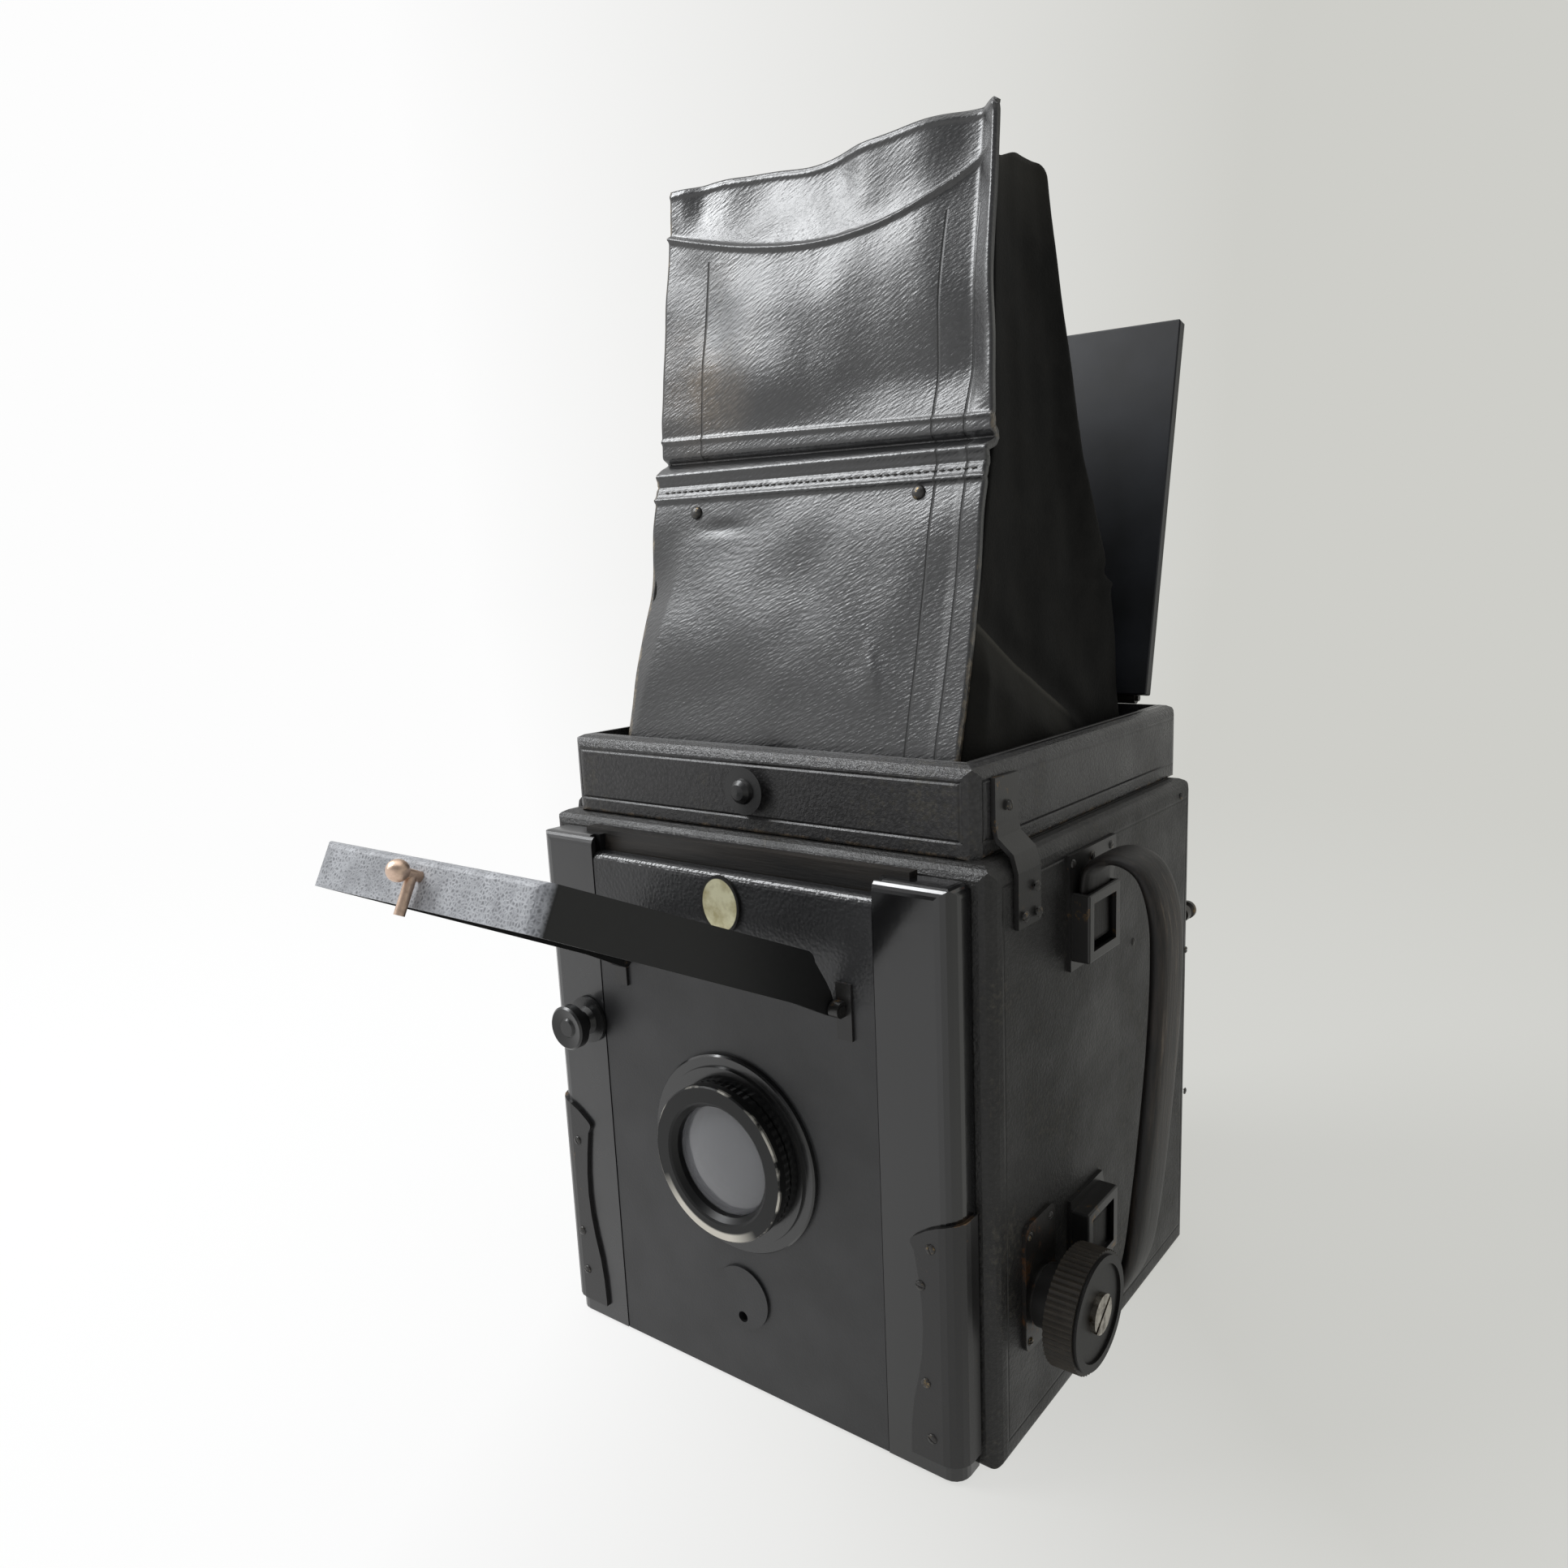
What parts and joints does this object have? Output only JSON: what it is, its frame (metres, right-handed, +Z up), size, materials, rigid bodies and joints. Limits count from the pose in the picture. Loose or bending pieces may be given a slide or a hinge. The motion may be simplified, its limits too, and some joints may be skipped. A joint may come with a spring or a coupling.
{
  "type": "reflex camera",
  "caption": "Leather-covered single-lens reflex plate camera with raised viewing hood and lid, lens door, focusing rack and mirror.",
  "frame": {"origin": "mouth of the tripod bush, in the middle of the base", "axes": "+Z up, the lens looks along -Y, +X is the side with the focusing knob"},
  "size_m": [0.2012, 0.2734, 0.364],
  "materials": {
    "body_leather": "satin",
    "hood_leather": "satin",
    "black_wood": "matte",
    "lacquered_wood": "gloss",
    "lacquered_metal": "gloss",
    "brown_wood": "satin",
    "worn_brass": "satin",
    "brass": "satin",
    "ebonite": "gloss",
    "steel": "satin",
    "blind_cloth": "matte",
    "slide_fibre": "matte",
    "ivory": "satin",
    "lens_glass": "gloss",
    "screen_glass": "matte",
    "silvered_glass": "gloss"
  },
  "bodies": {
    "body": {"side_board_left": "body_leather", "side_board_right": "body_leather", "base_board": "body_leather", "top_deck": "body_leather", "front_bulkhead": "black_wood", "back_frame": "black_wood", "tripod_bush": "brass", "screen_frame": "black_wood", "ground_glass": "screen_glass", "hood_box": "body_leather", "hood_front": "hood_leather", "hood_sides": "hood_leather", "hood_back": "hood_leather", "lid_hinge_leaves": "brass", "box_clips": "worn_brass", "handle_strap": "hood_leather", "upper_keeper": "worn_brass", "lower_keeper": "worn_brass", "knob_plate": "worn_brass", "rack_guides": "brown_wood", "mirror_stops": "brass", "shutter_blind": "blind_cloth", "reversing_back": "black_wood", "back_keepers": "brass", "shutter_plates": "worn_brass"},
    "front": {"front_frame": "brown_wood", "left_rail": "lacquered_wood", "right_rail": "lacquered_wood", "corner_plates": "worn_brass", "racks": "brass", "bellows": "hood_leather"},
    "rise_clamp": {"rise_knob": "worn_brass"},
    "lens_board": {"lens_panel": "body_leather", "badge": "ivory", "catch_plate": "worn_brass", "door_ears": "worn_brass", "lens_flange": "lacquered_metal", "lens_barrel": "lacquered_metal", "front_element": "lens_glass", "rear_element": "lens_glass", "iris_blades": "steel"},
    "iris_ring": {"aperture_ring": "lacquered_metal"},
    "door": {"lens_door": "lacquered_metal"},
    "latch": {"door_latch": "brass"},
    "focus": {"focus_shaft": "steel", "focus_knob": "ebonite"},
    "lid": {"lid_board": "lacquered_wood", "lid_hinge_straps": "brass"},
    "button": {"lid_button": "ebonite"},
    "mirror": {"mirror_frame": "black_wood", "mirror_glass": "silvered_glass"},
    "release": {"release_lever": "brass"},
    "winder": {"upper_roller": "brown_wood", "winding_knob": "ebonite"},
    "take_up": {"lower_roller": "brown_wood"},
    "tension": {"tension_knob": "ebonite"},
    "catch": {"back_catch": "brass"},
    "holder": {"plate_holder": "brown_wood"},
    "front_sheath": {"front_slide": "slide_fibre"},
    "rear_sheath": {"rear_slide": "slide_fibre"}
  },
  "joints": [
    {"name": "front_travel", "type": "slide", "parent": "body", "child": "front", "axis": [0, -1, 0], "range_m": [0, 0.04], "deforming": ["bellows"]},
    {"name": "focus_turn", "type": "hinge", "parent": "body", "child": "focus", "pos_m": [0, -0.046, 0.042], "axis": [1, 0, 0], "range_deg": [-365, 1]},
    {"name": "board_rise", "type": "slide", "parent": "front", "child": "lens_board", "axis": [0, 0, 1], "range_m": [0, 0.012]},
    {"name": "rise_clamp_turn", "type": "hinge", "parent": "front", "child": "rise_clamp", "pos_m": [-0.059, -0.081, 0.108], "axis": [0, 1, 0], "range_deg": [0, 180]},
    {"name": "iris_turn", "type": "hinge", "parent": "lens_board", "child": "iris_ring", "pos_m": [0, -0.085, 0.078], "axis": [0, 1, 0], "range_deg": [0, 110]},
    {"name": "door_swing", "type": "hinge", "parent": "lens_board", "child": "door", "pos_m": [0, -0.0832, 0.1316], "axis": [1, 0, 0], "range_deg": [0, 117]},
    {"name": "latch_turn", "type": "hinge", "parent": "door", "child": "latch", "pos_m": [0, -0.17421, 0.18426], "axis": [0, -0.891, 0.454], "range_deg": [0, 90]},
    {"name": "lid_swing", "type": "hinge", "parent": "body", "child": "lid", "pos_m": [0, 0.0674, 0.1987], "axis": [1, 0, 0], "range_deg": [0, 102], "deforming": ["hood_front", "hood_sides", "hood_back"]},
    {"name": "button_push", "type": "slide", "parent": "body", "child": "button", "axis": [0, 1, 0], "range_m": [0, 0.002], "stiffness_N_per_m": 1500, "springref_m": -0.002},
    {"name": "mirror_lift", "type": "hinge", "parent": "body", "child": "mirror", "pos_m": [0, 0.04, 0.138], "axis": [-1, 0, 0], "range_deg": [0, 45]},
    {"name": "release_press", "type": "hinge", "parent": "body", "child": "release", "pos_m": [-0.0815, -0.038, 0.141], "axis": [1, 0, 0], "range_deg": [0, 20]},
    {"name": "shutter_wind", "type": "hinge", "parent": "body", "child": "winder", "pos_m": [0, 0.052, 0.148], "axis": [1, 0, 0], "range_deg": [-540, 540]},
    {"name": "shutter_take_up", "type": "hinge", "parent": "body", "child": "take_up", "pos_m": [0, 0.052, 0.024], "axis": [1, 0, 0], "range_deg": [-720, 720]},
    {"name": "tension_turn", "type": "hinge", "parent": "body", "child": "tension", "pos_m": [-0.0815, 0.052, 0.024], "axis": [1, 0, 0], "range_deg": [-720, 720]},
    {"name": "catch_turn", "type": "hinge", "parent": "body", "child": "catch", "pos_m": [0.0775, 0.071, 0.122], "axis": [0, 1, 0], "range_deg": [0, 90]},
    {"name": "holder_slide", "type": "slide", "parent": "body", "child": "holder", "axis": [-1, 0, 0], "range_m": [0, 0.13]},
    {"name": "front_sheath_draw", "type": "slide", "parent": "holder", "child": "front_sheath", "axis": [-1, 0, 0], "range_m": [0, 0.112]},
    {"name": "rear_sheath_draw", "type": "slide", "parent": "holder", "child": "rear_sheath", "axis": [-1, 0, 0], "range_m": [0, 0.112]}
  ],
  "couplings": [
    {"joint": "focus_turn", "follows": "front_travel", "rad_per_m": -158.73},
    {"joint": "release_press", "follows": "mirror_lift", "ratio": 0.4444},
    {"joint": "shutter_take_up", "follows": "shutter_wind", "ratio": 1}
  ]
}
